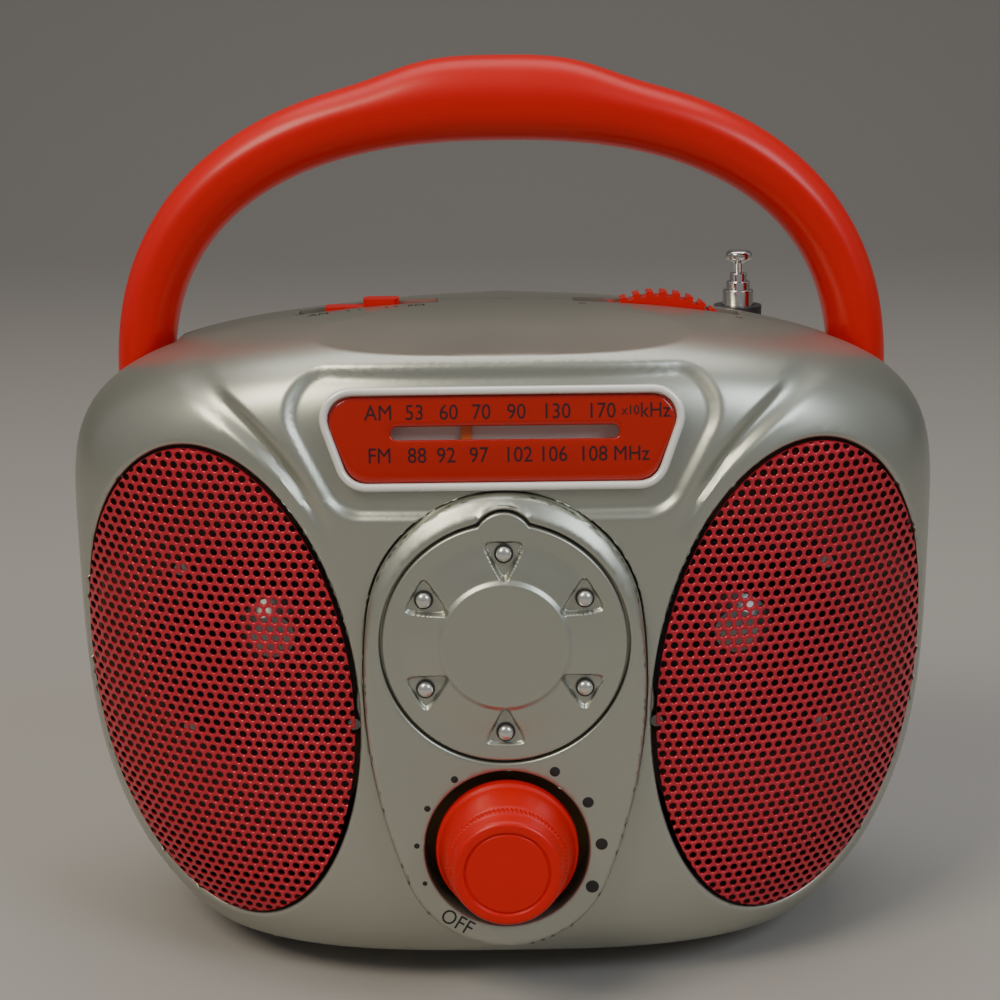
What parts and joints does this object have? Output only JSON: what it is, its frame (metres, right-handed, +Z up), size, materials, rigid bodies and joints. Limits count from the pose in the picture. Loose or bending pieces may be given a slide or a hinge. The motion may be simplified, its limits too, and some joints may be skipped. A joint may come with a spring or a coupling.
{
  "type": "portable radio",
  "caption": "Small portable AM/FM radio with domed side speakers, folding carry handle, tuning dial, volume knob and telescopic antenna.",
  "frame": {"origin": "middle of the footprint on the table, in the parting plane of the two shells", "axes": "+X to the listener's right, +Y to the back, +Z up"},
  "size_m": [0.194, 0.1113, 0.1982],
  "materials": {
    "silver_paint": "satin metallic paint",
    "silver_stud": "satin metallic paint",
    "red_plastic": "satin",
    "steel": "plain",
    "circuit_board": "plain",
    "component_case": "plain",
    "red_lens": "clear tinted",
    "white_plastic": "plain",
    "pointer_orange": "plain",
    "paper_cone": "paper",
    "dust_cap": "polished",
    "ferrite": "plain",
    "red_mesh": "satin",
    "hardboard": "plain",
    "copper_coil": "enamelled wire",
    "chrome": "polished",
    "black_plastic": "plain",
    "rubber": "plain"
  },
  "bodies": {
    "case": {"front_shell": "silver_paint", "rear_shell": "silver_paint", "control_panel": "silver_paint", "hub_plate": "silver_paint", "hub_studs": "silver_stud", "volume_control": "steel", "main_board": "circuit_board", "board_components": "component_case", "board_screws": "steel", "dial_lens": "red_lens", "dial_plate": "white_plastic", "pointer_rail": "steel", "speaker_frame_right": "steel", "speaker_frame_left": "steel", "speaker_cone_right": "paper_cone", "speaker_cone_left": "paper_cone", "speaker_cap_right": "dust_cap", "speaker_cap_left": "dust_cap", "speaker_magnet_right": "ferrite", "speaker_magnet_left": "ferrite", "speaker_grille_right": "red_mesh", "speaker_grille_left": "red_mesh", "speaker_baffle_right": "hardboard", "speaker_baffle_left": "hardboard", "speaker_screws": "steel", "handle_pivots": "steel", "tuner_board": "circuit_board", "tuning_capacitor": "white_plastic", "ferrite_rod": "ferrite", "aerial_coil": "copper_coil", "aerial_clips": "white_plastic", "band_switch": "component_case", "antenna_bushing": "component_case", "battery_tray": "black_plastic", "battery_springs": "steel", "battery_contacts": "steel", "base_plinth": "silver_paint", "rubber_feet": "rubber"},
    "knob": {"volume_knob": "red_plastic", "volume_shaft": "steel"},
    "handle": {"handle": "red_plastic"},
    "wheel": {"tuning_wheel": "red_plastic", "tuning_shaft": "steel"},
    "pointer": {"dial_pointer": "pointer_orange"},
    "band_cap": {"band_switch_cap": "red_plastic"},
    "antenna_outer": {"antenna_tube_1": "chrome"},
    "antenna_second": {"antenna_tube_2": "chrome"},
    "antenna_third": {"antenna_tube_3": "chrome"},
    "antenna_tip": {"antenna_tube_4": "chrome"},
    "door": {"battery_door": "silver_paint"}
  },
  "joints": [
    {"name": "handle_fold", "type": "hinge", "parent": "case", "child": "handle", "pos_m": [0, 0.01, 0.116], "axis": [-1, 0, 0], "range_deg": [0, 90]},
    {"name": "volume_turn", "type": "hinge", "parent": "case", "child": "knob", "pos_m": [0, -0.05185, 0.03696], "axis": [0, 0.9986, -0.0523], "range_deg": [0, 285]},
    {"name": "tuning_turn", "type": "hinge", "parent": "case", "child": "wheel", "pos_m": [0.0346, 0, 0.1255], "axis": [0, 1, 0], "range_deg": [-59, 120]},
    {"name": "pointer_slide", "type": "slide", "parent": "case", "child": "pointer", "axis": [1, 0, 0], "range_m": [-0.0136, 0.0276]},
    {"name": "band_slide", "type": "slide", "parent": "case", "child": "band_cap", "axis": [1, 0, 0], "range_m": [-0.006, 0]},
    {"name": "antenna_pull_1", "type": "slide", "parent": "case", "child": "antenna_outer", "axis": [0, 0, 1], "range_m": [0, 0.085]},
    {"name": "antenna_pull_2", "type": "slide", "parent": "antenna_outer", "child": "antenna_second", "axis": [0, 0, 1], "range_m": [0, 0.085]},
    {"name": "antenna_pull_3", "type": "slide", "parent": "antenna_second", "child": "antenna_third", "axis": [0, 0, 1], "range_m": [0, 0.085]},
    {"name": "antenna_pull_4", "type": "slide", "parent": "antenna_third", "child": "antenna_tip", "axis": [0, 0, 1], "range_m": [0, 0.085]},
    {"name": "door_swing", "type": "hinge", "parent": "case", "child": "door", "pos_m": [0, 0.045, 0.0186], "axis": [-1, 0, 0], "range_deg": [0, 75]}
  ],
  "couplings": [
    {"joint": "pointer_slide", "follows": "tuning_turn", "m_per_rad": 0.013}
  ]
}
